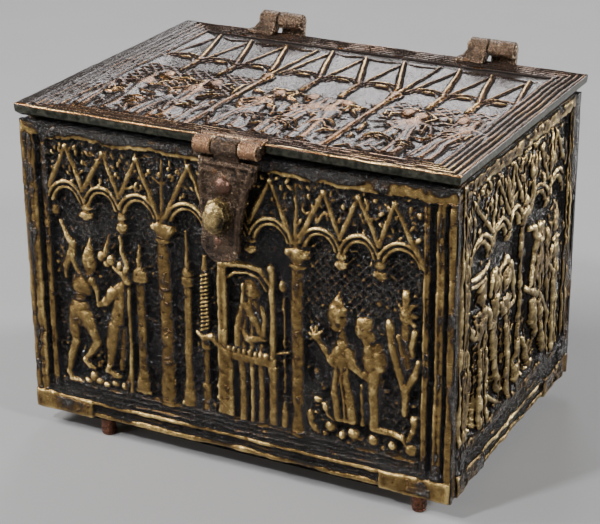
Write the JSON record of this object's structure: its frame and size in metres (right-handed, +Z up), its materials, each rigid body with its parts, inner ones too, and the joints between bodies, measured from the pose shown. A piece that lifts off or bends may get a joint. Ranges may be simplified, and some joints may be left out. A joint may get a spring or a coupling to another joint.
{
  "type": "reliquary casket",
  "caption": "Small rectangular cast brass reliquary casket with Gothic arcade reliefs, hinged relief lid, hanging hasp with knob and short peg feet.",
  "frame": {"origin": "under the middle of the whole object, on the surface that its feet stand on", "axes": "+X to the casket's right as seen from the hasp side, +Y towards its back hinges, +Z up"},
  "size_m": [0.1132, 0.0896, 0.0892],
  "materials": {
    "worn_brass": "cast, worn bright on the raised relief, near-black patina in the hollows",
    "brown_bronze": "cast copper alloy, brown patina with dusty grey hollows",
    "red_copper": "beaten copper, reddish brown, scuffed"
  },
  "bodies": {
    "casket": {"front_plaque": "worn_brass", "back_plaque": "worn_brass", "left_plaque": "worn_brass", "right_plaque": "worn_brass", "floor_plate": "worn_brass", "foot_front_left": "red_copper", "foot_front_right": "red_copper", "foot_back_left": "red_copper", "foot_back_right": "red_copper", "hinge_box_leaf_left": "brown_bronze", "hinge_box_leaf_right": "brown_bronze", "hinge_pin_left": "brown_bronze", "hinge_pin_right": "brown_bronze"},
    "lid": {"lid": "brown_bronze", "hinge_lid_leaf_left": "brown_bronze", "hinge_lid_leaf_right": "brown_bronze", "hasp_hinge_leaf": "red_copper", "hasp_pin": "red_copper"},
    "hasp": {"hasp": "red_copper", "hasp_knob": "worn_brass", "hasp_rivet_upper": "red_copper", "hasp_rivet_lower": "red_copper"}
  },
  "joints": [
    {"name": "lid_hinge", "type": "hinge", "parent": "casket", "child": "lid", "pos_m": [0, 0.04267, 0.0871], "axis": [-1, 0, 0], "range_deg": [0, 110]},
    {"name": "hasp_hinge", "type": "hinge", "parent": "lid", "child": "hasp", "pos_m": [0.0015, -0.03993, 0.0823], "axis": [-1, 0, 0], "range_deg": [0, 200]}
  ]
}
